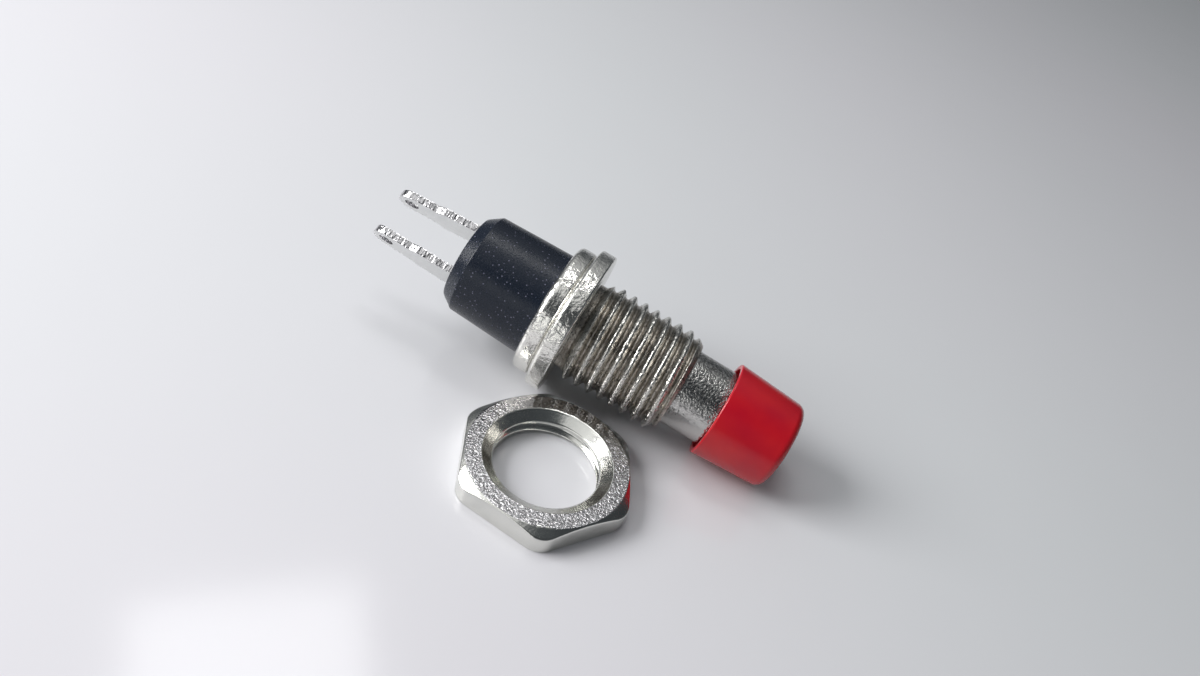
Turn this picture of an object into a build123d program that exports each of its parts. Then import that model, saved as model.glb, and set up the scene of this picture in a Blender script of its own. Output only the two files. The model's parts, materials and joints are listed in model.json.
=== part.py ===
from build123d import *
import os
from math import asin, atan2, cos, hypot, radians, sin, tan

# Mini push button switch with its panel nut, in millimetres.
# The switch lies on a table with its nut flat beside it. Stations are counted along the switch's
# axis from the flange's seat face, which lies against the back of a panel, and are positive towards
# the cap. The finished set is moved so that the origin is on the table, under its middle.

# --- Driving dimensions ---------------------------------------------------------------------------
# Threaded bushing
THREAD_RADIUS = 3.50
THREAD_DEPTH = 0.43
BARREL_LENGTH = 7.65
BARREL_LEAD = 0.67
NECK_LENGTH = 0.45
MOUTH_CHAMFER = 0.10
FLANGE_OVERHANG = 0.52
FLANGE_THICKNESS = 1.08
GROOVE_WIDTH = 0.12
GROOVE_DEPTH = 0.18
SKIRT_LENGTH = 1.20
SKIRT_WALL = 0.38
SKIRT_SWAGE = 0.32
LIP_THICKNESS = 0.30
EDGE_BREAK = 0.08
COLLAR_STOP = -0.25
BASE_SEAT = -0.90

# Plunger and cap
STEM_RADIUS = 2.65
STEM_SHOWN = 3.35
COLLAR_RADIUS = 2.95
COLLAR_THICKNESS = 0.80
SPIGOT_RADIUS = 1.90
SPIGOT_LENGTH = 3.00
TENON_RADIUS = 0.60
RIVET_RADIUS = 0.92
RIVET_HEIGHT = 0.30
CAP_RIM_RADIUS = 3.32
CAP_RIM_WALL = 0.36
CAP_RECESS_DEPTH = 0.55
CAP_LENGTH = 5.20
CAP_FRONT_RADIUS = 3.03
CAP_CORNER_ROUND = 0.60
CAP_DOME_HEIGHT = 0.20
CAP_RIM_BREAK = 0.07

# Travel and the moving contact
TRAVEL = 1.80
CARRIER_RADIUS = 2.65
CARRIER_THICKNESS = 0.70
HUB_RADIUS = 1.20
HUB_LIP_RADIUS = 1.42
HUB_LIP_THICKNESS = 0.30
CONTACT_RADIUS = 2.70
CONTACT_THICKNESS = 0.30

# Base housing
BASE_LENGTH = 7.54
BODY_FRONT_RADIUS = 3.68
BODY_REAR_RADIUS = 3.46
BODY_CHAMFER_LENGTH = 0.83
BODY_CHAMFER_DEPTH = 0.60
SHOULDER_STEP = 0.42
CAVITY_DEPTH = 4.70
BOSS_RADIUS = 0.92
BOSS_HEIGHT = 0.80

# Solder terminals
TERMINAL_SPACING = 3.30
BLADE_THICKNESS = 0.50
LUG_LENGTH = 5.95
EYE_WIDTH = 1.90
EYE_RADIUS = 0.45
LUG_STEP_START = 2.75
LUG_STEP_LENGTH = 0.55
SHANK_WIDTH = 2.40
COLLAR_WIDTH = 2.75
COLLAR_LENGTH = 0.35
SLOT_WIDTH = 2.00
PAD_WIDTH = 1.40
PAD_REACH = 2.75
FOLD_RADIUS = 0.35
BEND_RADIUS = 2.00
LUG_LEANS = {"upper": 3.2, "lower": 0.8}
CONTACT_BUTTON_RADIUS = 0.45
CONTACT_BUTTON_HEIGHT = 0.25
CONTACT_BUTTON_PLACE = 2.25
ROLL = 31.0

# Return spring
WIRE_RADIUS = 0.13
WIRE_SIDES = 6
COIL_RADIUS = 1.16
COIL_TURNS = 4

# Panel nut
NUT_FLATS = 10.40
NUT_THICKNESS = 1.60
NUT_CORNER_ROUND = 0.55
NUT_TURNED_RADIUS = 5.08
NUT_TURNED_ANGLE = 30.0
NUT_TOP_SINK_RADIUS = 4.08
NUT_TOP_SINK_DEPTH = 0.50
NUT_UNDER_SINK = 0.22
NUT_ACROSS = 2.45
NUT_BESIDE = -8.48
NUT_TURN = -9.5

# Clearances
STEM_CLEARANCE = 0.05
CAVITY_CLEARANCE = 0.10
SHOULDER_CLEARANCE = 0.04
SLOT_CLEARANCE = 0.02
CONTACT_CLEARANCE = 0.03
NUT_OVER_CAP = 0.04

# --- Fits and stations that follow ----------------------------------------------------------------
stem_bore = STEM_RADIUS + STEM_CLEARANCE
cavity_radius = COLLAR_RADIUS + CAVITY_CLEARANCE
root_radius = THREAD_RADIUS - THREAD_DEPTH
skirt_bore = BODY_FRONT_RADIUS + SHOULDER_STEP
skirt_radius = skirt_bore + SKIRT_WALL
flange_radius = skirt_radius + FLANGE_OVERHANG
groove_radius = skirt_radius - GROOVE_DEPTH
skirt_start = -FLANGE_THICKNESS - GROOVE_WIDTH
skirt_end = skirt_start - SKIRT_LENGTH
lip_seat = skirt_end + LIP_THICKNESS

cap_rear = BARREL_LENGTH + STEM_SHOWN - CAP_RECESS_DEPTH
spigot_start = cap_rear + CAP_RECESS_DEPTH
cap_apex = cap_rear + CAP_LENGTH
cap_corner = (cap_apex - CAP_DOME_HEIGHT - CAP_CORNER_ROUND, CAP_FRONT_RADIUS - CAP_CORNER_ROUND)

collar_rear = COLLAR_STOP - COLLAR_THICKNESS
carrier_rear = collar_rear - CARRIER_THICKNESS
contact_rear = carrier_rear - CONTACT_THICKNESS
hub_rear = contact_rear - HUB_LIP_THICKNESS

base_rear = BASE_SEAT - BASE_LENGTH
cavity_floor = BASE_SEAT - CAVITY_DEPTH
button_face = contact_rear - TRAVEL - CONTACT_CLEARANCE
pad_front = button_face - CONTACT_BUTTON_HEIGHT
pad_middle = pad_front - BLADE_THICKNESS / 2
lug_tip = base_rear - LUG_LENGTH
lug_collar_end = base_rear - COLLAR_LENGTH
eye_station = lug_tip + EYE_WIDTH / 2
blade_offset = TERMINAL_SPACING / 2
nut_bore = CAP_RIM_RADIUS + NUT_OVER_CAP


def touching_slope(point, centre, radius):
    """Slope, in radians, of the line from a point that lies on the outside of a circle."""
    along = centre[0] - point[0]
    out = centre[1] - point[1]
    return atan2(out, along) + asin(radius / hypot(along, out))


def touching_point(slope, centre, radius):
    """Where a line of that slope touches the circle."""
    return (centre[0] - radius * sin(slope), centre[1] + radius * cos(slope))


# --- How it lies: on its flange's edge and its cap's front corner ----------------------------------
tilt = -touching_slope((0, flange_radius), cap_corner, CAP_CORNER_ROUND)
table_height = -flange_radius * cos(tilt)

axis_direction = Vector(cos(tilt), 0, -sin(tilt))
upright = Vector(sin(tilt), 0, cos(tilt))
switch_axis = Axis((0, 0, 0), axis_direction)
half_section = Plane(origin=(0, 0, 0), x_dir=axis_direction, z_dir=(0, -1, 0))

blade_width_direction = upright.rotate(switch_axis, ROLL)
blade_side = Plane(origin=(0, 0, 0), x_dir=axis_direction, z_dir=blade_width_direction)
blade_face = Plane(origin=(0, 0, 0), x_dir=axis_direction, z_dir=blade_side.y_dir)


def across(station):
    """Plane across the axis at a station, with its x towards the upper terminal."""
    return Plane(
        origin=axis_direction * station, x_dir=blade_side.y_dir, z_dir=axis_direction
    )


# --- Threaded bushing: barrel, flange and the skirt that is swaged over the base's shoulder ---------
with BuildPart() as threaded_bushing:
    with BuildSketch(half_section):
        with BuildLine():
            Polyline(
                (BARREL_LENGTH, stem_bore + MOUTH_CHAMFER),
                (BARREL_LENGTH, root_radius),
                (BARREL_LENGTH - BARREL_LEAD, THREAD_RADIUS),
                (NECK_LENGTH + THREAD_DEPTH, THREAD_RADIUS),
                (NECK_LENGTH, root_radius),
                (0, root_radius),
                (0, flange_radius),
                (EDGE_BREAK - FLANGE_THICKNESS, flange_radius),
                (-FLANGE_THICKNESS, flange_radius - EDGE_BREAK),
                (-FLANGE_THICKNESS, groove_radius),
                (skirt_start, groove_radius),
                (skirt_start, skirt_radius),
                (skirt_end + SKIRT_SWAGE, skirt_radius),
                (skirt_end, skirt_radius - SKIRT_SWAGE),
                (skirt_end, BODY_FRONT_RADIUS + SHOULDER_CLEARANCE),
                (lip_seat, BODY_FRONT_RADIUS + SHOULDER_CLEARANCE),
                (lip_seat, skirt_bore),
                (BASE_SEAT, skirt_bore),
                (BASE_SEAT, cavity_radius),
                (COLLAR_STOP, cavity_radius),
                (COLLAR_STOP, stem_bore),
                (BARREL_LENGTH - MOUTH_CHAMFER, stem_bore),
                close=True,
            )
        make_face()
    revolve(axis=switch_axis)
threaded_bushing.part.label = "threaded_bushing"

# --- Base housing: open in front, with the cavity, two terminal slots and the spring's boss --------
with BuildPart() as base_housing:
    with BuildSketch(half_section):
        with BuildLine():
            Polyline(
                (BASE_SEAT, cavity_radius),
                (BASE_SEAT, skirt_bore - SHOULDER_CLEARANCE),
                (lip_seat, skirt_bore - SHOULDER_CLEARANCE),
                (lip_seat, BODY_FRONT_RADIUS),
                (base_rear + BODY_CHAMFER_LENGTH, BODY_REAR_RADIUS),
                (base_rear, BODY_REAR_RADIUS - BODY_CHAMFER_DEPTH),
                (base_rear, 0),
                (cavity_floor + BOSS_HEIGHT, 0),
                (cavity_floor + BOSS_HEIGHT, BOSS_RADIUS),
                (cavity_floor, BOSS_RADIUS),
                (cavity_floor, cavity_radius),
                close=True,
            )
        make_face()
    revolve(axis=switch_axis)
    with BuildSketch(across(base_rear)):
        with Locations((-blade_offset, 0), (blade_offset, 0)):
            Rectangle(BLADE_THICKNESS + 2 * SLOT_CLEARANCE, SLOT_WIDTH + 2 * SLOT_CLEARANCE)
    extrude(amount=cavity_floor - base_rear, mode=Mode.SUBTRACT)
base_housing.part.label = "base_housing"

# --- Plunger: stem, stop collar, spigot for the cap and the tenon that is riveted behind the hub ----
with BuildPart() as plunger:
    with BuildSketch(half_section):
        with BuildLine():
            Polyline(
                (spigot_start + SPIGOT_LENGTH, 0),
                (spigot_start + SPIGOT_LENGTH, SPIGOT_RADIUS),
                (spigot_start, SPIGOT_RADIUS),
                (spigot_start, STEM_RADIUS),
                (COLLAR_STOP, STEM_RADIUS),
                (COLLAR_STOP, COLLAR_RADIUS),
                (collar_rear, COLLAR_RADIUS),
                (collar_rear, TENON_RADIUS),
                (hub_rear, TENON_RADIUS),
                (hub_rear, RIVET_RADIUS),
            )
            rivet_end = (hub_rear - RIVET_HEIGHT, 0)
            RadiusArc(
                (hub_rear, RIVET_RADIUS),
                rivet_end,
                -(RIVET_RADIUS**2 + RIVET_HEIGHT**2) / (2 * RIVET_HEIGHT),
            )
            Line(rivet_end, (spigot_start + SPIGOT_LENGTH, 0))
        make_face()
    revolve(axis=switch_axis)
plunger.part.label = "plunger"

# --- Button cap: tapered side and shallow dome, both tangent to the round of the front corner -------
side_start = (cap_rear + CAP_RIM_BREAK, CAP_RIM_RADIUS)
side_slope = touching_slope(side_start, cap_corner, CAP_CORNER_ROUND)
side_end = touching_point(side_slope, cap_corner, CAP_CORNER_ROUND)
corner_to_apex = cap_apex - cap_corner[0]
dome_radius = (cap_corner[1] ** 2 + corner_to_apex**2 - CAP_CORNER_ROUND**2) / (
    2 * (corner_to_apex - CAP_CORNER_ROUND)
)
dome_slope = atan2(cap_corner[1], cap_corner[0] - (cap_apex - dome_radius))
dome_start = (
    cap_corner[0] + CAP_CORNER_ROUND * cos(dome_slope),
    cap_corner[1] + CAP_CORNER_ROUND * sin(dome_slope),
)

with BuildPart() as button_cap:
    with BuildSketch(half_section):
        with BuildLine():
            Polyline(
                (cap_apex, 0),
                (spigot_start + SPIGOT_LENGTH, 0),
                (spigot_start + SPIGOT_LENGTH, SPIGOT_RADIUS),
                (spigot_start, SPIGOT_RADIUS),
                (spigot_start, CAP_RIM_RADIUS - CAP_RIM_WALL),
                (cap_rear + CAP_RIM_BREAK, CAP_RIM_RADIUS - CAP_RIM_WALL),
                (cap_rear, CAP_RIM_RADIUS - CAP_RIM_WALL + CAP_RIM_BREAK),
                (cap_rear, CAP_RIM_RADIUS - CAP_RIM_BREAK),
                side_start,
                side_end,
            )
            RadiusArc(side_end, dome_start, CAP_CORNER_ROUND)
            RadiusArc(dome_start, (cap_apex, 0), dome_radius)
        make_face()
    revolve(axis=switch_axis)
button_cap.part.label = "button_cap"

# --- Contact carrier: insulating hub that the moving contact snaps over -----------------------------
with BuildPart() as contact_carrier:
    with BuildSketch(half_section):
        with BuildLine():
            Polyline(
                (collar_rear, TENON_RADIUS),
                (collar_rear, CARRIER_RADIUS),
                (carrier_rear, CARRIER_RADIUS),
                (carrier_rear, HUB_RADIUS),
                (contact_rear, HUB_RADIUS),
                (contact_rear, HUB_LIP_RADIUS),
                (hub_rear, HUB_RADIUS),
                (hub_rear, TENON_RADIUS),
                close=True,
            )
        make_face()
    revolve(axis=switch_axis)
contact_carrier.part.label = "contact_carrier"

# --- Moving contact: a flat ring that bridges the two fixed contacts when the button is down --------
with BuildPart() as moving_contact:
    with BuildSketch(across(contact_rear)):
        Circle(CONTACT_RADIUS)
        Circle(HUB_RADIUS, mode=Mode.SUBTRACT)
    extrude(amount=CONTACT_THICKNESS)
moving_contact.part.label = "moving_contact"

# --- Return spring: fine wire, six-sided here, between the cavity floor and the hub, round the boss --
with BuildPart() as return_spring:
    with BuildLine() as coil:
        Helix(
            pitch=(hub_rear - cavity_floor - 2 * WIRE_RADIUS) / COIL_TURNS,
            height=hub_rear - cavity_floor - 2 * WIRE_RADIUS,
            radius=COIL_RADIUS,
            center=axis_direction * (cavity_floor + WIRE_RADIUS),
            direction=axis_direction,
        )
    with BuildSketch(Plane(origin=coil.line @ 0, z_dir=coil.line % 0)):
        RegularPolygon(WIRE_RADIUS, WIRE_SIDES)
    sweep(is_frenet=True)
return_spring.part.label = "return_spring"


# --- Solder terminals: a strip folded to a pad inside, with a stepped lug and its eye outside -------
def make_terminal(name, side):
    """One terminal, on the side of the axis where blade_side's y has that sign."""
    lean = side * (LUG_LENGTH - COLLAR_LENGTH) * sin(radians(LUG_LEANS[name]))
    with BuildPart() as terminal:
        with BuildSketch(blade_side):
            with BuildLine():
                FilletPolyline(
                    (lug_tip, side * blade_offset - lean),
                    (lug_collar_end, side * blade_offset),
                    (pad_middle, side * blade_offset),
                    (pad_middle, side * PAD_REACH),
                    radius=[BEND_RADIUS, FOLD_RADIUS],
                )
            trace(line_width=BLADE_THICKNESS)
        extrude(amount=COLLAR_WIDTH, both=True)
        with BuildSketch(blade_face):
            with BuildLine():
                Polyline(
                    (eye_station, 0),
                    (eye_station, EYE_WIDTH / 2),
                    (lug_tip + LUG_STEP_START, EYE_WIDTH / 2),
                    (lug_tip + LUG_STEP_START + LUG_STEP_LENGTH, SHANK_WIDTH / 2),
                    (lug_collar_end, SHANK_WIDTH / 2),
                    (lug_collar_end, COLLAR_WIDTH / 2),
                    (base_rear, COLLAR_WIDTH / 2),
                    (base_rear, SLOT_WIDTH / 2),
                    (cavity_floor, SLOT_WIDTH / 2),
                    (cavity_floor, PAD_WIDTH / 2),
                    (pad_front, PAD_WIDTH / 2),
                    (pad_front, 0),
                )
                mirror(about=Plane.XZ)
            make_face()
            with Locations((eye_station, 0)):
                Circle(EYE_WIDTH / 2)
                Circle(EYE_RADIUS, mode=Mode.SUBTRACT)
        extrude(amount=PAD_REACH + BLADE_THICKNESS, both=True, mode=Mode.INTERSECT)
    return terminal.part


# --- Fixed contacts: a small riveted button on each terminal's pad ----------------------------------
def make_fixed_contact(side):
    """One contact button, on the terminal of that side."""
    with BuildPart() as fixed_contact:
        with BuildSketch(across(pad_front)):
            with Locations((side * CONTACT_BUTTON_PLACE, 0)):
                Circle(CONTACT_BUTTON_RADIUS)
        extrude(amount=CONTACT_BUTTON_HEIGHT)
        chamfer(fixed_contact.edges().group_by(switch_axis)[-1], EDGE_BREAK)
    return fixed_contact.part


paired = []
for name, side in (("upper", 1), ("lower", -1)):
    terminal = make_terminal(name, side)
    terminal.label = f"terminal_{name}"
    fixed_contact = make_fixed_contact(side)
    fixed_contact.label = f"fixed_contact_{name}"
    paired += [terminal, fixed_contact]

# --- Panel nut: thin hexagon with its upper corners turned off, countersunk, that passes the cap ----
nut_seat = Plane(origin=(NUT_ACROSS, NUT_BESIDE, table_height))
nut_axis = Axis(nut_seat.origin, nut_seat.z_dir)
turned_reach = NUT_TURNED_RADIUS + NUT_THICKNESS / tan(radians(NUT_TURNED_ANGLE))
nut_section = Plane(origin=nut_seat.origin, x_dir=(1, 0, 0), z_dir=(0, -1, 0))

with BuildPart() as panel_nut:
    with BuildSketch(nut_seat):
        RegularPolygon(NUT_FLATS / 2, 6, major_radius=False, rotation=NUT_TURN)
    extrude(amount=NUT_THICKNESS)
    fillet(panel_nut.edges().filter_by(Axis.Z), NUT_CORNER_ROUND)
    with BuildSketch(nut_section):
        with BuildLine():
            Polyline(
                (nut_bore, NUT_UNDER_SINK),
                (nut_bore + NUT_UNDER_SINK, 0),
                (turned_reach, 0),
                (NUT_TURNED_RADIUS, NUT_THICKNESS),
                (NUT_TOP_SINK_RADIUS, NUT_THICKNESS),
                (nut_bore, NUT_THICKNESS - NUT_TOP_SINK_DEPTH),
                close=True,
            )
        make_face()
    revolve(axis=nut_axis, mode=Mode.INTERSECT)
panel_nut.part.label = "panel_nut"

# --- Output: the set is moved so that the origin is on the table, under its middle ------------------
pieces = [
    threaded_bushing.part,
    base_housing.part,
    plunger.part,
    button_cap.part,
    contact_carrier.part,
    moving_contact.part,
    return_spring.part,
    panel_nut.part,
]
pieces += paired
extent = Compound(pieces).bounding_box()
to_table = Vector(-extent.center().X, -extent.center().Y, -table_height)

os.makedirs("parts", exist_ok=True)
for piece in pieces:
    export_step(piece.moved(Location(to_table)), f"parts/{piece.label}.step")
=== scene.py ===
"""Looks of the mini push button switch and its panel nut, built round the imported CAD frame."""

import json
from math import asin, cos, hypot, pi, radians, sin, sqrt, tan

import bmesh
import bpy
import numpy as np
from mathutils import Matrix, Vector, noise


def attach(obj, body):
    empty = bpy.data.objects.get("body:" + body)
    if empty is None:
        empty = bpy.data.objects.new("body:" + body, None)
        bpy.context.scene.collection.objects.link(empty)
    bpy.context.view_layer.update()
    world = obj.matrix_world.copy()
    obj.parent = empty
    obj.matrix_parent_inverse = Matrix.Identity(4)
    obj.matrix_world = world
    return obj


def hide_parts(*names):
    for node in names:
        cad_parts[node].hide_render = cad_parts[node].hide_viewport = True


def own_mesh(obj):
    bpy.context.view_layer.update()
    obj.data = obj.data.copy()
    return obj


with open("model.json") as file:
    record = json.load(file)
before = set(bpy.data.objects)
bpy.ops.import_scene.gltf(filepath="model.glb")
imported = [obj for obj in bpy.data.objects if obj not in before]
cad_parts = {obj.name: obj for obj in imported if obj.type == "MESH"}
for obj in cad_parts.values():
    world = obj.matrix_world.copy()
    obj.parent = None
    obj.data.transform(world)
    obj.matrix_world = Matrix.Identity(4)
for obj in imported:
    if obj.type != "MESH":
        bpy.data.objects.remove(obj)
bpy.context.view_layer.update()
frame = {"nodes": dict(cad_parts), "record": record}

# --- Sizes in millimetres, with stations along the switch's axis from the flange's seat face ---
MM = 0.001

# Threaded bushing
THREAD_RADIUS = 3.50
ROOT_RADIUS = 3.07
NECK_RADIUS = 3.01
PITCH = 0.85
FIRST_CREST = 0.50
NECK_LENGTH = 0.45
BARREL_LENGTH = 7.65
BARREL_LEAD = 0.67
STEM_BORE = 2.70
FLANGE_RADIUS = 5.00
FLANGE_REAR = -1.08
GROOVE_RADIUS = 4.30
SKIRT_RADIUS = 4.48
SKIRT_FRONT = -1.20
SKIRT_REAR = -2.40
SKIRT_ROUND = 0.40
SKIRT_BORE = 4.10
LIP_SEAT = -2.10
BASE_SEAT = -0.90
COLLAR_STOP = -0.25
CAVITY_RADIUS = 3.05
CHIP_DEPTH = 0.05
PEEL_DEPTH = 0.014

# Base housing
BODY_FRONT_RADIUS = 3.68
BODY_REAR_RADIUS = 3.46
BODY_CHAMFER_LENGTH = 0.83
BODY_CHAMFER_DEPTH = 0.60
BASE_REAR = -8.44
CAVITY_FLOOR = -5.60
BOSS_RADIUS = 0.92
BOSS_HEIGHT = 0.80
SLOT_LENGTH = 3.60
SLOT_MIDDLE = 1.30
SLOT_WIDTH = 2.00
SAG_DEPTH = 0.012

# Plunger, whose stem is hammered only where it shows
STEM_RADIUS = 2.65
STEM_END = 11.00
STEM_SHOWN_FROM = 5.40
STEM_PIT_DEPTH = 0.009
STEM_GRAIN_DEPTH = 0.006
COLLAR_RADIUS = 2.95
COLLAR_REAR = -1.05
SPIGOT_RADIUS = 1.90
SPIGOT_LENGTH = 3.00
TENON_RADIUS = 0.60
RIVET_RADIUS = 0.92
RIVET_HEIGHT = 0.30
HUB_REAR = -2.35

# Button cap, a little inset so that its facets stay by the solid's
CAP_REAR = 10.45
CAP_APEX = 15.65
CAP_RIM_RADIUS = 3.32
CAP_RIM_WALL = 0.36
CAP_FRONT_RADIUS = 3.03
CAP_CORNER_ROUND = 0.60
CAP_DOME_HEIGHT = 0.20
CAP_TAPER = radians(3.8)
CAP_INSET = 0.004

# Solder terminals, with their leans in degrees
BLADE_OFFSET = 1.65
BLADE_THICKNESS = 0.50
LUG_TIP = -14.39
TIP_HALF_WIDTH = 0.02
EYE_WIDTH = 1.90
EYE_RADIUS = 0.45
EYE_STRETCH = (1.12, 1, 0.92)
STEP_START = -11.64
STEP_END = -11.09
SHANK_WIDTH = 2.40
COLLAR_WIDTH = 2.75
COLLAR_END = -8.79
PAD_WIDTH = 1.40
PAD_MIDDLE = -4.38
PAD_REACH = 2.75
FOLD_RADIUS = 0.35
LUG_LEANS = {"upper": 3.2, "lower": 0.8}
LUG_SOFTNESS = 0.05
TEAR_DEPTH = 0.03
TEAR_WAVE_DEPTH = 0.02
TEAR_INSET = 0.035

# Return spring, whose end coils rise by that many wire radii
WIRE_RADIUS = 0.13
COIL_RADIUS = 1.16
COIL_TURNS = 4
END_COIL_RISE = 2.05

# Panel nut, with its angles in degrees
NUT_FLATS = 10.40
NUT_THICKNESS = 1.60
NUT_CORNER_ROUND = 1.45
NUT_TURNED_RADIUS = 5.08
NUT_TURNED_ANGLE = 30.0
NUT_SINK_RADIUS = 4.08
NUT_SINK_DEPTH = 0.50
NUT_UNDER_SINK = 0.22
NUT_BORE = 3.36
NUT_THREAD_HEIGHT = 0.30
NUT_EDGE = 0.06
NUT_PIT_DEPTH = 0.013
NUT_TURN = -9.5
TO_NUT_CORNER = 30

# Gap between fitted pieces, and how a turned piece closes at the axis
CLEARANCE = 0.04
NEAR_AXIS = 0.001
MERGE = 0.01

# --- Fineness of the meshes: points round a piece, and millimetres between its rows -------------
BUSHING_POINTS = 364
BASE_POINTS = 192
STEM_POINTS = 320
CAP_POINTS = 224
NUT_POINTS = 640
COIL_STEPS = 36
WIRE_POINTS = 10
THREAD_ROW = 0.04
STEM_ROW = 0.035
BASE_ROW = 0.25
LUG_ROW = 0.045

# --- Where the switch and the nut lie -----------------------------------------------------------
mounts = {mount["name"]: mount for mount in frame["record"]["mounts"]}
axis = Vector(mounts["panel_thread"]["axis"]).normalized()
upright = (Vector((0, 0, 1)) - axis * axis.z).normalized()
sideways = upright.cross(axis)
thread_place = Vector(mounts["panel_thread"]["pos_m"])
seat_place = Vector(mounts["panel_seat"]["pos_m"])
seat_centre = thread_place - axis * (thread_place - seat_place).dot(axis)
blade_normal = Vector(mounts["solder_eye_upper"]["axis"]).normalized()
blade_across = axis.cross(blade_normal)
TILT = asin(-axis.z)
nut_place = Vector(mounts["nut_thread"]["pos_m"])


def frame_matrix(x, y, z, origin):
    """Matrix from millimetres along three directions to metres in the shared frame."""
    matrix = Matrix((x * MM, y * MM, z * MM)).transposed().to_4x4()
    matrix.translation = origin
    return matrix


switch_frame = frame_matrix(axis, sideways, upright, seat_centre)
blade_frame = frame_matrix(axis, blade_normal, blade_across, seat_centre)
nut_frame = Matrix.Translation((nut_place.x, nut_place.y, 0)) @ Matrix.Scale(MM, 4)


# --- Mesh helpers -------------------------------------------------------------------------------
def rounded(corners, steps=4, support=0.03):
    """Profile from (station, radius, round) corners, each round an arc between two supports."""
    points = []
    count = len(corners)
    for index, (x, y, size) in enumerate(corners):
        here = Vector((x, y))
        if size == 0:
            points.append((x, y))
            continue
        before = (Vector(corners[index - 1][:2]) - here).normalized()
        after = (Vector(corners[(index + 1) % count][:2]) - here).normalized()
        half = before.angle(after) / 2
        reach = size / tan(half)
        centre = here + (before + after).normalized() * (size / sin(half))
        start = here + before * reach - centre
        end = here + after * reach - centre
        points.append(tuple(here + before * (reach + support)))
        turn = start.angle_signed(end)
        for step in range(steps + 1):
            swing = start.copy()
            swing.rotate(Matrix.Rotation(-turn * step / steps, 2))
            points.append(tuple(centre + swing))
        points.append(tuple(here + after * (reach + support)))
    return points


def grid_object(name, points, place, closed=True, merge=0.0):
    """Mesh over a grid of points (rows, turns, 3) that closes in turns, and in rows if closed."""
    rows, turns = points.shape[:2]
    index = np.arange(rows * turns).reshape(rows, turns)
    upper = np.roll(index, -1, axis=0) if closed else index[1:]
    lower = index if closed else index[:-1]
    faces = np.stack(
        [lower, np.roll(lower, -1, axis=1), np.roll(upper, -1, axis=1), upper], axis=-1
    ).reshape(-1, 4)
    mesh = bpy.data.meshes.new(name)
    mesh.from_pydata(points.reshape(-1, 3), [], faces.tolist())
    mesh.transform(place)
    built = bmesh.new()
    built.from_mesh(mesh)
    if merge:
        bmesh.ops.remove_doubles(built, verts=built.verts, dist=merge * MM)
    if not closed:
        bmesh.ops.holes_fill(built, edges=built.edges, sides=0)
    bmesh.ops.recalc_face_normals(built, faces=built.faces)
    built.to_mesh(mesh)
    built.free()
    mesh.shade_smooth()
    piece = bpy.data.objects.new(name, mesh)
    bpy.context.scene.collection.objects.link(piece)
    return piece


def turned(name, profile, count, shape=None, closed=True, merge=0.0):
    """Surface turned about the switch's axis, with count points round it.

    shape(stations, radii, angles) gives changed radii. A profile that isn't closed ends near the
    axis at both ends, and merge closes the small holes there.
    """
    rows = np.array(profile, float)
    angles = np.linspace(0, 2 * pi, count, endpoint=False)
    stations = np.repeat(rows[:, :1], count, axis=1)
    radii = np.repeat(rows[:, 1:], count, axis=1)
    angles = np.repeat(angles[None, :], len(rows), axis=0)
    if shape:
        radii = shape(stations, radii, angles)
    points = np.stack([stations, radii * np.cos(angles), radii * np.sin(angles)], axis=-1)
    return grid_object(name, points, switch_frame, closed, merge)


def grain(x, y, z, size, seed):
    """Smooth noise from -1 to 1 with features of that size, in millimetres."""
    flat = np.stack([x.ravel(), y.ravel(), z.ravel()], axis=-1) / size + seed
    values = [noise.noise(point) for point in flat.tolist()]
    return np.array(values).reshape(x.shape)


def grain_round(stations, radii, angles, size, seed):
    """The same noise on a turned surface."""
    return grain(stations, radii * np.cos(angles), radii * np.sin(angles), size, seed)


def smoothstep(low, high, value):
    """Share from 0 at low to 1 at high, with a soft start and end."""
    share = np.clip((value - low) / (high - low), 0, 1)
    return share * share * (3 - 2 * share)


def vertex_places(piece):
    """Metres from the middle of the flange's seat face to each of the piece's vertices."""
    return np.array([vertex.co for vertex in piece.data.vertices]) - np.array(seat_centre)


def share_layer(piece, name, values):
    """Keeps a share from 0 to 1 at each of the piece's vertices for its material."""
    layer = piece.data.attributes.new(name, "FLOAT", "POINT")
    layer.data.foreach_set("value", np.ravel(values).astype(np.float32))


def cut_away(piece, cutter):
    """Takes the cutter's shape out of the piece and removes the cutter."""
    modifier = piece.modifiers.new("cut", "BOOLEAN")
    modifier.object = cutter
    modifier.solver = "EXACT"
    bpy.context.view_layer.update()
    result = piece.evaluated_get(bpy.context.evaluated_depsgraph_get())
    mesh = bpy.data.meshes.new_from_object(result)
    piece.modifiers.clear()
    piece.data = mesh
    bpy.data.objects.remove(cutter)
    mesh.shade_smooth()
    mesh.set_sharp_from_angle(angle=radians(40))


def finish_piece(piece, body, node, slot, *materials):
    """Gives the piece its materials, puts it under its body and hides its CAD node. The slot is not
    used.
    """
    for material in materials:
        piece.data.materials.append(material)
    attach(piece, body)
    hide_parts(node)


# --- Material helpers ---------------------------------------------------------------------------
def dimmed(colour, share):
    return tuple(channel * share for channel in colour)


def set_stops(ramp, stops):
    """Gives a colour ramp its (position, colour) stops."""
    while len(ramp.elements) < len(stops):
        ramp.elements.new(1.0)
    for element, (position, colour) in zip(ramp.elements, stops):
        element.position = position
        element.color = (*colour, 1)


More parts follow.
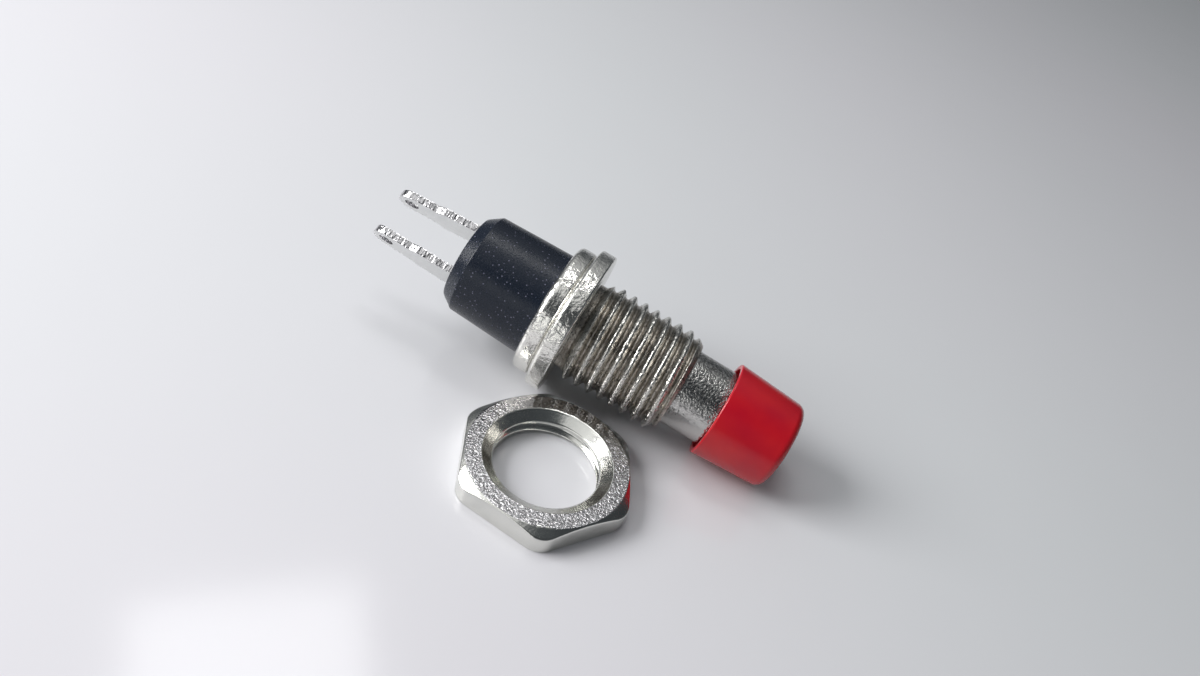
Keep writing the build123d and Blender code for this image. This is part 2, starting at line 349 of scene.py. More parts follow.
class Finish:
    """A procedural material on object coordinates, with sizes in millimetres."""

    def __init__(self, name, colour, roughness, metallic=0.0, **sockets):
        self.material = bpy.data.materials.new(name)
        self.material.use_nodes = True
        self.nodes = self.material.node_tree.nodes
        self.links = self.material.node_tree.links
        self.shader = self.nodes["Principled BSDF"]
        self.shader.inputs["Base Color"].default_value = (*colour, 1)
        self.shader.inputs["Roughness"].default_value = roughness
        self.shader.inputs["Metallic"].default_value = metallic
        for socket, value in sockets.items():
            self.shader.inputs[socket.replace("_", " ")].default_value = value
        self.place = self.nodes.new("ShaderNodeTexCoord").outputs["Object"]

    def streaks(self, along, across, detail):
        """Noise of marks that are so long along the switch's axis and across it."""
        level = self.nodes.new("ShaderNodeMapping")
        level.inputs["Rotation"].default_value = (0, -TILT, 0)
        self.links.new(self.place, level.inputs["Vector"])
        stretch = self.nodes.new("ShaderNodeMapping")
        stretch.inputs["Scale"].default_value = (1 / along, 1 / across, 1 / across)
        self.links.new(level.outputs["Vector"], stretch.inputs["Vector"])
        return self.noise(1.0, detail, 0.6, stretch.outputs["Vector"])

    def noise(self, size, detail=3.0, roughness=0.5, place=None):
        texture = self.nodes.new("ShaderNodeTexNoise")
        texture.inputs["Scale"].default_value = 1 / (size * MM)
        texture.inputs["Detail"].default_value = detail
        texture.inputs["Roughness"].default_value = roughness
        self.links.new(place or self.place, texture.inputs["Vector"])
        return texture.outputs["Fac"]

    def cells(self, size):
        """Distance to the nearest of points that lie about that far apart."""
        texture = self.nodes.new("ShaderNodeTexVoronoi")
        texture.inputs["Scale"].default_value = 1 / (size * MM)
        self.links.new(self.place, texture.inputs["Vector"])
        return texture.outputs["Distance"]

    def attribute(self, name):
        """The share that share_layer keeps under that name."""
        node = self.nodes.new("ShaderNodeAttribute")
        node.attribute_name = name
        return node.outputs["Fac"]

    def ramp(self, value, *stops):
        """Colour ramp over (position, colour) stops."""
        node = self.nodes.new("ShaderNodeValToRGB")
        set_stops(node.color_ramp, stops)
        self.links.new(value, node.inputs["Fac"])
        return node.outputs["Color"]

    def range(self, value, given, wanted):
        """The value with the given range taken to the wanted one, and held at its ends."""
        node = self.nodes.new("ShaderNodeMapRange")
        for socket, number in zip(("From Min", "From Max", "To Min", "To Max"), given + wanted):
            node.inputs[socket].default_value = number
        self.links.new(value, node.inputs["Value"])
        return node.outputs["Result"]

    def maths(self, operation, first, second):
        """Result of a sum or product of two outputs, or of an output and a number."""
        node = self.nodes.new("ShaderNodeMath")
        node.operation = operation
        for socket, value in zip(node.inputs, (first, second)):
            if isinstance(value, (int, float)):
                socket.default_value = value
            else:
                self.links.new(value, socket)
        return node.outputs["Value"]

    def times(self, first, second):
        return self.maths("MULTIPLY", first, second)

    def mix(self, factor, first, second):
        """Mixed colour of two colours or outputs."""
        node = self.nodes.new("ShaderNodeMix")
        node.data_type = "RGBA"
        self.links.new(factor, node.inputs["Factor"])
        colour_sockets = node.inputs[6], node.inputs[7]
        for socket, value in zip(colour_sockets, (first, second)):
            if isinstance(value, tuple):
                socket.default_value = (*value, 1)
            else:
                self.links.new(value, socket)
        return node.outputs[2]

    def bump(self, height, depth, under=None):
        """Normal of a relief that deep, on top of the normal under it."""
        node = self.nodes.new("ShaderNodeBump")
        node.inputs["Distance"].default_value = depth * MM
        self.links.new(height, node.inputs["Height"])
        if under:
            self.links.new(under, node.inputs["Normal"])
        return node.outputs["Normal"]

    def use(self, socket, output):
        """Links the output to that socket of the shader."""
        self.links.new(output, self.shader.inputs[socket])


def nickel(name, colour, roughness, peel_size, peel_depth):
    """Nickel plating with fine peel, faint uneven gloss and, by the root attribute, rougher roots
    with painted shade.
    """
    finish = Finish(name, colour, roughness, 1.0)
    root = finish.attribute("root")
    peel = finish.noise(peel_size, 2.0)
    fine = finish.noise(peel_size * 0.35, 2.0)
    lines = finish.streaks(0.09, 1.1, 3.0)
    torn = finish.streaks(0.10, 0.20, 2.0)
    patches = finish.noise(1.6, 4.0, 0.6)
    normal = finish.bump(fine, peel_depth * 0.4)
    normal = finish.bump(finish.times(lines, root), 0.035, normal)
    finish.use("Normal", finish.bump(peel, peel_depth, normal))
    gloss = finish.range(patches, (0.3, 0.7), (roughness * 0.75, roughness * 1.35))
    finish.use("Roughness", finish.maths("ADD", gloss, finish.times(root, 0.10)))
    toned = finish.ramp(patches, (0.3, dimmed(colour, 0.90)), (0.7, colour))
    # Painted shade: darker towards the thread roots, along the turning lines.
    root_shade = finish.times(root, finish.range(lines, (0.3, 0.6), (0.5, 1.0)))
    shaded = finish.mix(root_shade, toned, ROOT_SHADE)
    fleck_share = finish.range(root, (0.0, 0.2), (0.0, 0.8))
    flecks = finish.times(finish.range(torn, (0.38, 0.47), (1.0, 0.0)), fleck_share)
    finish.use("Base Color", finish.mix(flecks, shaded, FLECK))
    return finish.material


def grainy(name, colour, size, depth):
    """Bright plating over a coarse grain, as strong as the grain attribute says, with painted shade
    in its pits.
    """
    finish = Finish(name, colour, 0.13, 1.0)
    share = finish.attribute("grain")
    coarse = finish.noise(size, 1.5, 0.6)
    fine = finish.noise(size * 0.4, 2.0)
    normal = finish.bump(finish.times(fine, share), depth * 0.25)
    finish.use("Normal", finish.bump(finish.times(coarse, share), depth, normal))
    # Painted shade: the pits of the grain are darkened.
    pit_shade = finish.times(finish.range(coarse, (0.42, 0.54), (1.0, 0.0)), share)
    finish.use("Base Color", finish.mix(pit_shade, colour, dimmed(colour, 0.50)))
    return finish.material


def black_moulding(colour, glint_colour):
    """Satin black moulding with fine lighter specks, which are painted glints."""
    finish = Finish("black_phenolic", colour, 0.26, Specular_IOR_Level=0.36)
    fine = finish.noise(0.09, 3.0, 0.7)
    broad = finish.noise(0.8, 2.0)
    finish.use("Normal", finish.bump(fine, 0.016, finish.bump(broad, 0.010)))
    # Painted glints: small lighter specks stand in for the moulding's sparkle.
    glints = finish.range(finish.cells(0.26), (0.08, 0.20), (1.0, 0.0))
    finish.use("Base Color", finish.mix(glints, colour, glint_colour))
    finish.use("Roughness", finish.range(fine, (0.3, 0.7), (0.14, 0.34)))
    return finish.material


def red_plastic(colour, deep, light):
    """Glossy red plastic, slightly uneven in colour and gloss."""
    finish = Finish("red_cap", colour, 0.20, Specular_IOR_Level=0.5)
    broad = finish.noise(2.2, 2.0)
    fine = finish.noise(0.12, 2.0)
    finish.use("Normal", finish.bump(broad, 0.010, finish.bump(fine, 0.0015)))
    finish.use("Base Color", finish.ramp(broad, (0.3, deep), (0.7, light)))
    finish.use("Roughness", finish.range(broad, (0.3, 0.7), (0.16, 0.22)))
    return finish.material


def tin(name, colour, roughness, cut=False):
    """Tin plating: soft dull faces, or with cut the glittering torn face of a sheared edge."""
    finish = Finish(name, colour, roughness, 1.0)
    soft = finish.noise(0.35, 3.0, 0.6)
    fine = finish.noise(0.05, 3.0, 0.6)
    normal = finish.bump(fine, 0.003)
    if cut:
        tears = finish.streaks(0.13, 0.5, 2.0)
        normal = finish.bump(tears, 0.042, normal)
        finish.use("Base Color", finish.ramp(tears, (0.34, dimmed(colour, 0.60)), (0.54, colour)))
    finish.use("Normal", finish.bump(soft, 0.008, normal))
    gloss = finish.range(soft, (0.3, 0.7), (roughness * 0.8, roughness * 1.3))
    finish.use("Roughness", gloss)
    return finish.material


def plain_finish(name, colour, roughness, metallic, size, depth):
    """Quiet finish for the closed-in pieces, with a fine surface grain and slight mottling."""
    finish = Finish(name, colour, roughness, metallic)
    mottling = finish.noise(size, 3.0)
    finish.use("Normal", finish.bump(mottling, depth))
    finish.use("Base Color", finish.ramp(mottling, (0.35, dimmed(colour, 0.88)), (0.65, colour)))
    gloss = finish.range(mottling, (0.3, 0.7), (roughness * 0.85, roughness * 1.15))
    finish.use("Roughness", gloss)
    return finish.material


def pale_table(colour, deep, light):
    """Pale glossy table, nearly even in tone."""
    finish = Finish("table", colour, 0.12)
    tint = finish.noise(90, 1.0)
    finish.use("Base Color", finish.ramp(tint, (0.35, deep), (0.65, light)))
    finish.use("Normal", finish.bump(finish.noise(9, 2.0), 0.02))
    return finish.material


# --- Materials ----------------------------------------------------------------------------------
# Colour of the painted shade in the thread roots.
ROOT_SHADE = (0.36, 0.32, 0.27)
FLECK = (0.10, 0.09, 0.08)

# After the colour come the roughness and the size and depth of the peel.
bushing_metal = nickel("bushing_nickel", (0.80, 0.79, 0.75), 0.20, 0.32, 0.040)
side_metal = nickel("nut_side_nickel", (0.76, 0.76, 0.72), 0.16, 0.45, 0.008)

# After the colour come the size and depth of the grain.
stem_metal = grainy("stem_nickel", (0.58, 0.57, 0.55), 0.13, 0.035)
top_metal = grainy("nut_top_nickel", (0.64, 0.63, 0.64), 0.11, 0.030)

# Its second colour is that of the painted glints.
body_black = black_moulding((0.004, 0.008, 0.017), (0.16, 0.16, 0.22))
cap_red = red_plastic((0.50, 0.007, 0.020), (0.46, 0.006, 0.020), (0.54, 0.010, 0.018))
lug_face = tin("tin_face", (0.76, 0.76, 0.75), 0.34)
lug_edge = tin("tin_edge", (0.72, 0.71, 0.72), 0.16, cut=True)

# After the colour come the roughness, the metallic share and the mottling's size and depth.
spring_metal = plain_finish("spring_steel", (0.55, 0.56, 0.58), 0.28, 1.0, 0.08, 0.002)
nylon = plain_finish("white_nylon", (0.80, 0.79, 0.74), 0.45, 0.0, 0.12, 0.003)
ring_brass = plain_finish("contact_brass", (0.80, 0.62, 0.30), 0.24, 1.0, 0.10, 0.002)
silver = plain_finish("contact_silver", (0.86, 0.86, 0.85), 0.22, 1.0, 0.06, 0.002)

table_top = pale_table((0.66, 0.68, 0.69), (0.65, 0.665, 0.68), (0.68, 0.67, 0.70))


# --- Threaded bushing: turned flange and skirt, and a helical right-hand thread on the barrel ---
def thread_share(turns):
    """Height of the thread, from 0 at its root to 1 at its crest, at that many turns."""
    climb = 1 - np.abs(2 * (turns - np.floor(turns)) - 1)
    return smoothstep(0.04, 0.92, climb)


def bushing_shape(stations, radii, angles):
    """Cuts the thread with its chipped crests, and gives the flange and skirt their peel."""
    barrel = (stations > 0.001) & (stations < BARREL_LENGTH - 0.001) & (radii > STEM_BORE + 0.2)
    turns = (stations - FIRST_CREST) / PITCH + 0.5 - angles / (2 * pi)
    height = thread_share(turns)
    chips = smoothstep(0.05, 0.45, grain_round(stations, radii, angles, size=0.22, seed=3.1))
    worn = smoothstep(-0.4, 0.2, grain_round(stations, radii, angles, size=1.3, seed=8.4))
    crest = ROOT_RADIUS + (THREAD_RADIUS - ROOT_RADIUS) * height
    crest = crest - CHIP_DEPTH * chips * worn * height
    threaded = np.minimum(crest, radii)
    peel = PEEL_DEPTH * grain_round(stations, radii, angles, size=0.45, seed=1.7)
    outside = (radii > GROOVE_RADIUS - 0.1) & (stations < 0.01)
    return np.where(barrel, threaded, np.where(outside, radii - PEEL_DEPTH + peel, radii))


rear_part = [
    (0.0, NECK_RADIUS, 0.0),
    (0.0, FLANGE_RADIUS, 0.12),
    (FLANGE_REAR, FLANGE_RADIUS, 0.20),
    (FLANGE_REAR, GROOVE_RADIUS, 0.03),
    (SKIRT_FRONT, GROOVE_RADIUS, 0.03),
    (SKIRT_FRONT, SKIRT_RADIUS, 0.16),
    (SKIRT_REAR, SKIRT_RADIUS, SKIRT_ROUND),
    (SKIRT_REAR, BODY_FRONT_RADIUS + CLEARANCE, 0.05),
    (LIP_SEAT, BODY_FRONT_RADIUS + CLEARANCE, 0.0),
    (LIP_SEAT, SKIRT_BORE, 0.0),
    (BASE_SEAT, SKIRT_BORE, 0.0),
    (BASE_SEAT, CAVITY_RADIUS, 0.0),
    (COLLAR_STOP, CAVITY_RADIUS, 0.0),
    (COLLAR_STOP, STEM_BORE, 0.0),
    (BARREL_LENGTH, STEM_BORE, 0.05),
    (BARREL_LENGTH, NECK_RADIUS, 0.0),
]
thread_height = THREAD_RADIUS - NECK_RADIUS
barrel_rows = []
for station in np.arange(BARREL_LENGTH, 0.0, -THREAD_ROW):
    limit = NECK_RADIUS
    if station > NECK_LENGTH:
        lead = (BARREL_LENGTH - station) * thread_height / BARREL_LEAD
        limit = NECK_RADIUS + min(thread_height, station - NECK_LENGTH, lead)
    barrel_rows.append((station, limit))
bushing_rows = rounded(rear_part, 5) + barrel_rows
bushing = turned("bushing_turned", bushing_rows, BUSHING_POINTS, bushing_shape)
local = vertex_places(bushing)
along = local @ np.array(axis) / MM
out = np.linalg.norm(local / MM - along[:, None] * np.array(axis), axis=1)
on_barrel = (along > 0.02) & (out > STEM_BORE + 0.2)
# The root share makes the roots rougher and carries their painted shade.
root_share = 1 - 0.8 * smoothstep(ROOT_RADIUS + 0.05, THREAD_RADIUS - 0.12, out)
share_layer(bushing, "root", np.where(on_barrel, root_share, 0.0))
finish_piece(bushing, "switch", "threaded_bushing", "nickel_plating", bushing_metal)

# --- Base housing -------------------------------------------------------------------------------
base_corners = [
    (BASE_SEAT, CAVITY_RADIUS, 0.0),
    (BASE_SEAT, SKIRT_BORE - CLEARANCE, 0.0),
    (LIP_SEAT + CLEARANCE, SKIRT_BORE - CLEARANCE, 0.0),
    (LIP_SEAT + CLEARANCE, BODY_FRONT_RADIUS, 0.0),
    (BASE_REAR + BODY_CHAMFER_LENGTH, BODY_REAR_RADIUS, 0.10),
    (BASE_REAR, BODY_REAR_RADIUS - BODY_CHAMFER_DEPTH, 0.12),
    (BASE_REAR, NEAR_AXIS, 0.0),
    (CAVITY_FLOOR + BOSS_HEIGHT, NEAR_AXIS, 0.0),
    (CAVITY_FLOOR + BOSS_HEIGHT, BOSS_RADIUS, 0.08),
    (CAVITY_FLOOR, BOSS_RADIUS, 0.05),
    (CAVITY_FLOOR, CAVITY_RADIUS, 0.0),
]


def body_shape(stations, radii, angles):
    """Gives the moulding's side a slight sag."""
    side = (stations < LIP_SEAT) & (radii > BODY_REAR_RADIUS - 0.3)
    sag = SAG_DEPTH * grain_round(stations, radii, angles, size=3.0, seed=5.2) - SAG_DEPTH
    return np.where(side, radii + sag, radii)


base_points = rounded(base_corners, 5)
body_profile = []
for start, end in zip(base_points, base_points[1:] + [base_corners[0][:2]]):
    change = end[0] - start[0], end[1] - start[1]
    steps = max(1, int(hypot(*change) / BASE_ROW))
    for step in range(steps):
        share = step / steps
        body_profile.append((start[0] + change[0] * share, start[1] + change[1] * share))
body = turned("base_moulding", body_profile, BASE_POINTS, body_shape, merge=MERGE)
slot_size = (SLOT_LENGTH, BLADE_THICKNESS + CLEARANCE, SLOT_WIDTH + CLEARANCE, 1)
for side in (-1, 1):
    bpy.ops.mesh.primitive_cube_add(size=1)
    slot = bpy.context.object
    slot.data.transform(Matrix.Diagonal(slot_size))
    slot.data.transform(Matrix.Translation((BASE_REAR + SLOT_MIDDLE, side * BLADE_OFFSET, 0)))
    slot.data.transform(blade_frame)
    cut_away(body, slot)
finish_piece(body, "switch", "base_housing", "black_phenolic", body_black)

# --- Plunger ------------------------------------------------------------------------------------
stem_stations = np.arange(STEM_END - 0.1, STEM_SHOWN_FROM, -STEM_ROW)
rivet_rows = []
for step in range(1, 7):
    swing = step / 7 * pi / 2
    rivet_rows.append((HUB_REAR - RIVET_HEIGHT * sin(swing), RIVET_RADIUS * cos(swing), 0.0))
plunger_corners = [
    (STEM_END + SPIGOT_LENGTH, NEAR_AXIS, 0.0),
    (STEM_END + SPIGOT_LENGTH, SPIGOT_RADIUS, 0.08),
    (STEM_END, SPIGOT_RADIUS, 0.0),
    (STEM_END, STEM_RADIUS, 0.05),
    *((station, STEM_RADIUS, 0.0) for station in stem_stations),
    (COLLAR_STOP, STEM_RADIUS, 0.0),
    (COLLAR_STOP, COLLAR_RADIUS, 0.04),
    (COLLAR_REAR, COLLAR_RADIUS, 0.04),
    (COLLAR_REAR, TENON_RADIUS, 0.0),
    (HUB_REAR, TENON_RADIUS, 0.0),
    (HUB_REAR, RIVET_RADIUS, 0.0),
    *rivet_rows,
    (HUB_REAR - RIVET_HEIGHT, NEAR_AXIS, 0.0),
]


def stem_shape(stations, radii, angles):
    """Hammers the stem where it shows."""
    along_stem = (stations > STEM_SHOWN_FROM) & (stations < STEM_END - 0.02)
    pits = STEM_PIT_DEPTH * grain_round(stations, radii, angles, size=0.14, seed=2.2)
    fine = STEM_GRAIN_DEPTH * grain_round(stations, radii, angles, size=0.08, seed=6.6)
    hammered = radii + (pits + fine - (STEM_PIT_DEPTH + STEM_GRAIN_DEPTH))
    return np.where(along_stem & (radii > STEM_RADIUS - 0.1), hammered, radii)


plunger_rows = rounded(plunger_corners, 4)
plunger = turned(
    "plunger_turned", plunger_rows, STEM_POINTS, stem_shape, closed=False, merge=MERGE
)
local = vertex_places(plunger)
upward = local @ np.array(upright) / MM
behind = local @ np.array(sideways) / MM
# The grain and the painted shade of its pits are strong on the upper side and fade underneath,
# leaving the underside smooth and lighter.
upper_side = smoothstep(-0.6, 0.4, upward + 0.35 * behind)
share_layer(plunger, "grain", 0.08 + 0.92 * upper_side)
finish_piece(plunger, "button", "plunger", "nickel_plunger", stem_metal)

# --- Button cap ---------------------------------------------------------------------------------
corner_station = CAP_APEX - CAP_DOME_HEIGHT - CAP_CORNER_ROUND - CAP_INSET
corner_reach = CAP_FRONT_RADIUS - CAP_CORNER_ROUND
corner_depth = CAP_APEX - corner_station
dome_radius = (corner_reach**2 + corner_depth**2 - CAP_CORNER_ROUND**2) / (2 * CAP_DOME_HEIGHT)
dome_lean = asin(corner_reach / (dome_radius - CAP_CORNER_ROUND))
cap_front = []
for swing in np.linspace(pi / 2 - CAP_TAPER, dome_lean, 12):
    station = corner_station + CAP_CORNER_ROUND * cos(swing)
    cap_front.append((station, corner_reach + CAP_CORNER_ROUND * sin(swing), 0.0))
for swing in np.linspace(dome_lean, 0, 9)[1:]:
    station = CAP_APEX - dome_radius * (1 - cos(swing))
    cap_front.append((station, max(dome_radius * sin(swing), NEAR_AXIS), 0.0))
cap_corners = [
    (STEM_END + SPIGOT_LENGTH, NEAR_AXIS, 0.0),
    (STEM_END + SPIGOT_LENGTH, SPIGOT_RADIUS, 0.0),
    (STEM_END, SPIGOT_RADIUS, 0.0),
    (STEM_END, CAP_RIM_RADIUS - CAP_RIM_WALL, 0.08),
    (CAP_REAR, CAP_RIM_RADIUS - CAP_RIM_WALL, 0.07),
    (CAP_REAR, CAP_RIM_RADIUS, 0.10),
    *cap_front,
]
cap_rows = rounded(cap_corners, 10)
cap = turned("cap_moulding", cap_rows, CAP_POINTS, closed=False, merge=MERGE)
finish_piece(cap, "button", "button_cap", "red_cap", cap_red)


# --- Solder terminals: strip with a sheared edge, folded inside and stepped outside -------------
def half_width(station):
    """Half of the strip's width at a station on the switch's axis."""
    radius = EYE_WIDTH / 2
    if station < LUG_TIP + radius:
        return sqrt(max(radius**2 - (LUG_TIP + radius - station) ** 2, TIP_HALF_WIDTH**2))
    if station < STEP_START:
        return radius
    if station < STEP_END:
        share = (station - STEP_START) / (STEP_END - STEP_START)
        return radius + (SHANK_WIDTH / 2 - radius) * share
    if station < COLLAR_END:
        return SHANK_WIDTH / 2
    if station < BASE_REAR:
        return COLLAR_WIDTH / 2
    if station < CAVITY_FLOOR:
        return SLOT_WIDTH / 2
    return PAD_WIDTH / 2


def strip_rows():
    """Stations along the flattened strip, close where its outline turns."""
    radius = EYE_WIDTH / 2
    tip = [LUG_TIP + radius * (1 - cos(step / 24 * pi / 2)) for step in range(25)]
    tip[0] = LUG_TIP + 0.0002
    lug = list(np.arange(tip[-1] + 0.05, COLLAR_END - 0.02, LUG_ROW))
    edges = []
    for edge in (COLLAR_END, BASE_REAR, CAVITY_FLOOR):
        edges += [edge - 0.001, edge + 0.001]
    inside = list(np.arange(BASE_REAR + 0.3, PAD_MIDDLE - 0.8, 0.3))
    fold = list(np.arange(PAD_MIDDLE - 0.6, PAD_MIDDLE + PAD_REACH - BLADE_OFFSET - 0.2, 0.05))
    return sorted(tip + lug + edges + inside + fold)


def strip_place(length, lean, side):
    """Middle line of the strip and its normal, (station, offset, slope), at a flattened station."""
    if length < COLLAR_END:
        out = COLLAR_END - length
        offset = BLADE_OFFSET - out * sin(lean)
        return COLLAR_END - out * cos(lean), side * offset, side * lean
    bend_start = PAD_MIDDLE - FOLD_RADIUS
    if length < bend_start:
        return length, side * BLADE_OFFSET, 0.0
    swing = min((length - bend_start) / FOLD_RADIUS, pi / 2)
    straight = max(length - bend_start - FOLD_RADIUS * pi / 2, 0.0)
    station = bend_start + FOLD_RADIUS * sin(swing)
    offset = BLADE_OFFSET + FOLD_RADIUS * (1 - cos(swing)) + straight
    return station, side * offset, side * swing


def strip_section():
    """Outline of the strip's section as (across, through, whether it is the sheared wall)."""
    flat = np.linspace(-1, 1, 7)
    wall = np.linspace(-1, 1, 9)
    section = [(share, 1.0, False) for share in flat]
    section += [(1.0, -share, True) for share in wall]
    section += [(-share, -1.0, False) for share in flat]
    section += [(-1.0, share, True) for share in wall]
    return section


def make_terminal(name, side):
    """Builds the solder lug on that side, with its eye and both its materials."""
    lean = radians(LUG_LEANS[name])
    half = BLADE_THICKNESS / 2
    rows = []
    for length in strip_rows():
        station, offset, slope = strip_place(length, lean, side)
        width = half_width(length)
        row = []
        for across, through, is_wall in strip_section():
            z = across * (width if is_wall else max(width - LUG_SOFTNESS, 0.001))
            t = through * (half - LUG_SOFTNESS if is_wall else half)
            if is_wall and length < BASE_REAR:
                tear = noise.noise(Vector((length / 0.11, t / 0.5 + side * 7, across * 5)))
                broad = noise.noise(Vector((length / 0.5, t / 0.9, across * 5 + 3)))
                drop = TEAR_DEPTH * tear + TEAR_WAVE_DEPTH * broad - TEAR_INSET
                z = across * max(width + drop, 0.002)
            row.append((station - t * sin(slope), offset + t * cos(slope), z))
        rows.append(row)
    blade = grid_object(f"lug_{name}", np.array(rows), blade_frame, False)
    eye_station, eye_offset, eye_slope = strip_place(LUG_TIP + EYE_WIDTH / 2, lean, side)
    bpy.ops.mesh.primitive_cylinder_add(radius=EYE_RADIUS, depth=2, vertices=48)
    eye = bpy.context.object
    eye.data.transform(Matrix.Rotation(pi / 2, 4, "X"))
    eye.data.transform(Matrix.Diagonal((*EYE_STRETCH, 1)))
    eye.data.transform(Matrix.Rotation(eye_slope, 4, "Z"))
    eye.data.transform(Matrix.Translation((eye_station, eye_offset, 0)))
    eye.data.transform(blade_frame)
    cut_away(blade, eye)
    blade.data.materials.append(lug_face)
    blade.data.materials.append(lug_edge)
    for face in blade.data.polygons:
        flatness = abs(face.normal.dot(blade_normal))
        face.material_index = 0 if flatness > 0.8 else 1
    finish_piece(blade, "switch", f"terminal_{name}", "tinned_brass")


for name, side in (("upper", 1), ("lower", -1)):
    make_terminal(name, side)

# --- Return spring ------------------------------------------------------------------------------
spring_length = HUB_REAR - CAVITY_FLOOR - 2 * WIRE_RADIUS
closing = WIRE_RADIUS * END_COIL_RISE
spring_rows = []
for step in range((COIL_TURNS + 2) * COIL_STEPS + 1):
    turn = step / COIL_STEPS
    rise = np.clip((turn - 1) / COIL_TURNS, 0, 1)
    height = closing * min(turn, 1) + (spring_length - 2 * closing) * rise
    height += closing * max(turn - 1 - COIL_TURNS, 0)
    swing = 2 * pi * turn
    row = []
    for point in range(WIRE_POINTS):
        round_turn = 2 * pi * point / WIRE_POINTS
        reach = COIL_RADIUS + WIRE_RADIUS * cos(round_turn)
        rise_here = CAVITY_FLOOR + WIRE_RADIUS + height + WIRE_RADIUS * sin(round_turn)
        row.append((rise_here, reach * cos(swing), reach * sin(swing)))
    spring_rows.append(row)
spring = grid_object("spring_wire", np.array(spring_rows), switch_frame, False)
finish_piece(spring, "switch", "return_spring", "spring_steel", spring_metal)
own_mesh(spring)


# --- Panel nut: hexagon with turned corners, granular top, countersink and a helical thread -----
def hexagon(angles):
    """Distance from the nut's middle to its side, with rounded corners."""
    swing = (np.degrees(angles) - NUT_TURN) % (2 * TO_NUT_CORNER) - TO_NUT_CORNER
    flat = NUT_FLATS / 2 / np.cos(np.radians(swing))
    inner = NUT_FLATS / 2 - NUT_CORNER_ROUND
    corner_centre = inner / cos(radians(TO_NUT_CORNER))
    off = np.radians(TO_NUT_CORNER - np.abs(swing))
    under = np.clip(NUT_CORNER_ROUND**2 - (corner_centre * np.sin(off)) ** 2, 0, None)
    arc = corner_centre * np.cos(off) + np.sqrt(under)
    reach = inner * tan(radians(TO_NUT_CORNER))
    at_flat = np.abs(flat * np.sin(np.radians(swing)))
    return np.where(at_flat > reach, arc, flat)


nut_angles = np.linspace(0, 2 * pi, NUT_POINTS, endpoint=False)
nut_side = hexagon(nut_angles)
nut_rows = []


def nut_row(reach, height):
    """Adds a row round the nut, with one reach and height or one for each of its angles."""
    reach = reach * np.ones(NUT_POINTS)
    height = height * np.ones(NUT_POINTS)
    nut_rows.append(
        np.stack([reach * np.cos(nut_angles), reach * np.sin(nut_angles), height], axis=-1)
    )


def shares(count):
    """That many even shares from 0 to 1, without the 0 that ends the rows before."""
    return np.linspace(0, 1, count + 1)[1:]


turned_slope = tan(radians(NUT_TURNED_ANGLE))
side_top = NUT_THICKNESS - (nut_side - NUT_TURNED_RADIUS) * turned_slope
foot = NUT_BORE + NUT_UNDER_SINK
top_edge = nut_side - 0.025
sink_edge = NUT_SINK_RADIUS + CLEARANCE
nut_row(foot, 0)
for share in shares(4):
    nut_row(foot + (nut_side - NUT_EDGE - foot) * share, 0)
for share in shares(3):
    swing = share * pi / 2
    nut_row(nut_side - NUT_EDGE + NUT_EDGE * sin(swing), NUT_EDGE - NUT_EDGE * cos(swing))
for share in shares(8):
    nut_row(nut_side, NUT_EDGE + (side_top - 0.03 - NUT_EDGE) * share)
for share in np.linspace(0, 1, 9):
    reach = top_edge - (top_edge - NUT_TURNED_RADIUS) * share
    nut_row(reach, NUT_THICKNESS - (reach - NUT_TURNED_RADIUS) * turned_slope)
for share in shares(31):
    nut_row(NUT_TURNED_RADIUS + (sink_edge - NUT_TURNED_RADIUS) * share, NUT_THICKNESS)
for share in shares(8):
    sunk = NUT_SINK_DEPTH * (0.02 + 0.98 * share)
    nut_row(sink_edge + (NUT_BORE - sink_edge) * share, NUT_THICKNESS - sunk)
thread_top = NUT_THICKNESS - NUT_SINK_DEPTH
for height in np.linspace(thread_top, NUT_UNDER_SINK, 28)[1:]:
    turns = height / PITCH - nut_angles / (2 * pi)
    fade = smoothstep(0, 0.12, thread_top - height) * smoothstep(0, 0.12, height - NUT_UNDER_SINK)
    nut_row(NUT_BORE + NUT_THREAD_HEIGHT * thread_share(turns) * fade, height)
nut_points = np.array(nut_rows)
x, y, z = (nut_points[..., direction] for direction in range(3))
top = (z > NUT_THICKNESS - 0.001) & (np.hypot(x, y) > NUT_SINK_RADIUS + 0.06)
pits = NUT_PIT_DEPTH * grain(x, y, z, size=0.13, seed=4.4)
nut_points[..., 2] += np.where(top, pits - NUT_PIT_DEPTH, 0)
nut = grid_object("nut_hex", nut_points, nut_frame)
# Painted light: the grain, with the painted shade of its pits, fades out towards the far side of
# the top, which is left smooth and lighter as in its grazing reflection.
share_layer(nut, "grain", 1 - 0.85 * smoothstep(2.6, 4.0, y - 0.15 * x))
nut.data.materials.append(side_metal)
nut.data.materials.append(top_metal)
for face in nut.data.polygons:
    middle = face.center
    reach = hypot(middle.x - nut_place.x, middle.y - nut_place.y) / MM
    is_top = middle.z / MM > NUT_THICKNESS - 0.03 and reach > NUT_SINK_RADIUS + 0.03
    face.material_index = 1 if is_top else 0
finish_piece(nut, "switch", "panel_nut", "nickel_nut")

# --- Closed-in pieces keep their CAD shape ------------------------------------------------------
inner_finishes = {
    "contact_carrier": nylon,
    "moving_contact": ring_brass,
    "fixed_contact_upper": silver,
    "fixed_contact_lower": silver,
}
for node, material in inner_finishes.items():
    inner_mesh = frame["nodes"][node].data
    inner_mesh.materials.clear()
    inner_mesh.materials.append(material)

# --- Table --------------------------------------------------------------------------------------
TABLE_SIZE = 1.6
bpy.ops.mesh.primitive_plane_add(size=TABLE_SIZE)
table = bpy.context.object
table.name = "table"
table.data.materials.append(table_top)

